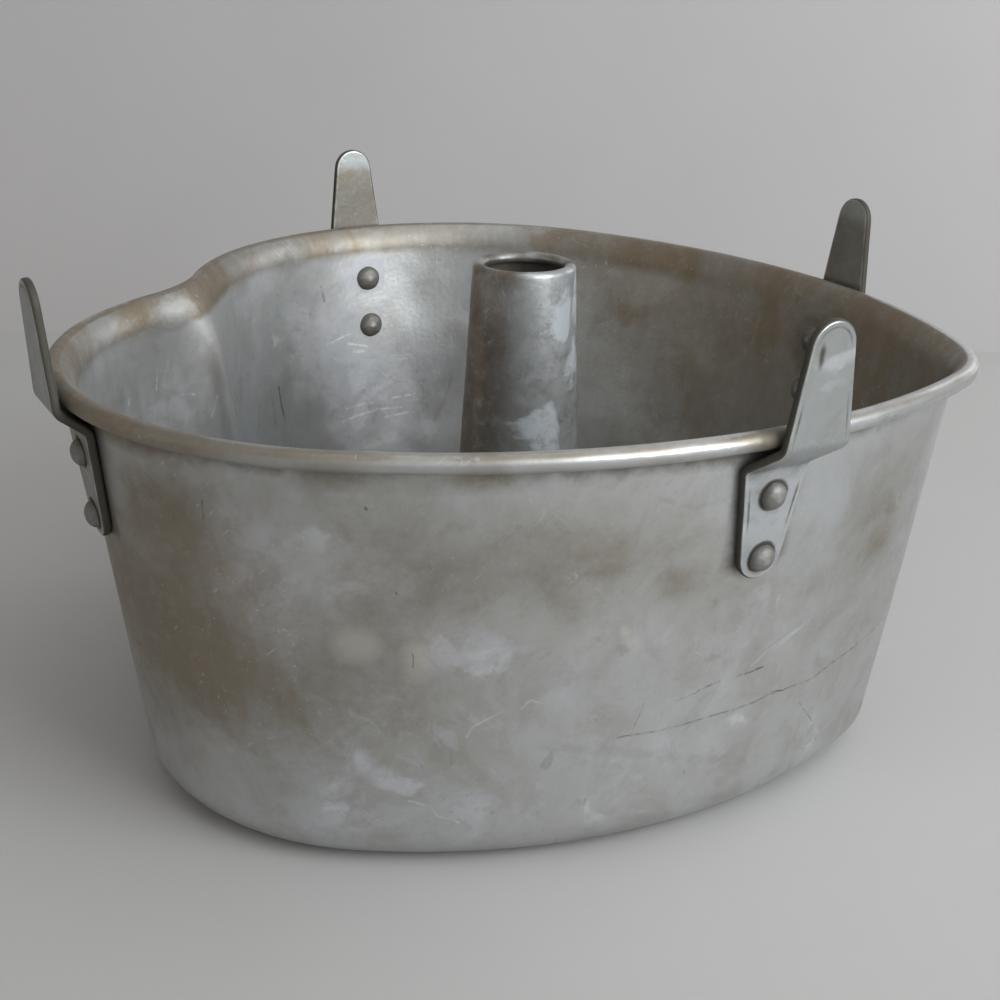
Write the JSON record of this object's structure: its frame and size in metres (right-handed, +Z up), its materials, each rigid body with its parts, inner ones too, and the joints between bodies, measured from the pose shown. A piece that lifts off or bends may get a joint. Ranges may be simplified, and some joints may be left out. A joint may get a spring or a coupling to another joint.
{
  "type": "angel food cake pan",
  "caption": "Heart-shaped metal cake pan with a rolled rim, riveted cooling legs and a lift-out bottom plate that carries a tapered centre tube.",
  "frame": {"origin": "middle of the pan's outline in X and Y, on the plane that the pan stands on", "axes": "+X towards the tip of the heart, +Y across it to the left lobe seen from behind the lobes, +Z up out of the mouth"},
  "size_m": [0.216, 0.229, 0.1305],
  "materials": {
    "body_aluminium": "dull, worn and cloudy with oxide",
    "insert_aluminium": "dull, browned by baking",
    "leg_aluminium": "satin with worn edges",
    "rivet_aluminium": "dull, dark in the creases"
  },
  "bodies": {
    "pan": {"pan_shell": "body_aluminium", "leg_lobe_left": "leg_aluminium", "leg_lobe_right": "leg_aluminium", "leg_side_left": "leg_aluminium", "leg_side_right": "leg_aluminium", "rivet_lobe_left_upper": "rivet_aluminium", "rivet_lobe_left_lower": "rivet_aluminium", "rivet_lobe_right_upper": "rivet_aluminium", "rivet_lobe_right_lower": "rivet_aluminium", "rivet_side_left_upper": "rivet_aluminium", "rivet_side_left_lower": "rivet_aluminium", "rivet_side_right_upper": "rivet_aluminium", "rivet_side_right_lower": "rivet_aluminium"},
    "insert": {"base_plate": "insert_aluminium", "centre_tube": "insert_aluminium"}
  },
  "joints": [
    {"name": "insert_lift", "type": "slide", "parent": "pan", "child": "insert", "axis": [0, 0, 1], "range_m": [0, 0.135]}
  ]
}
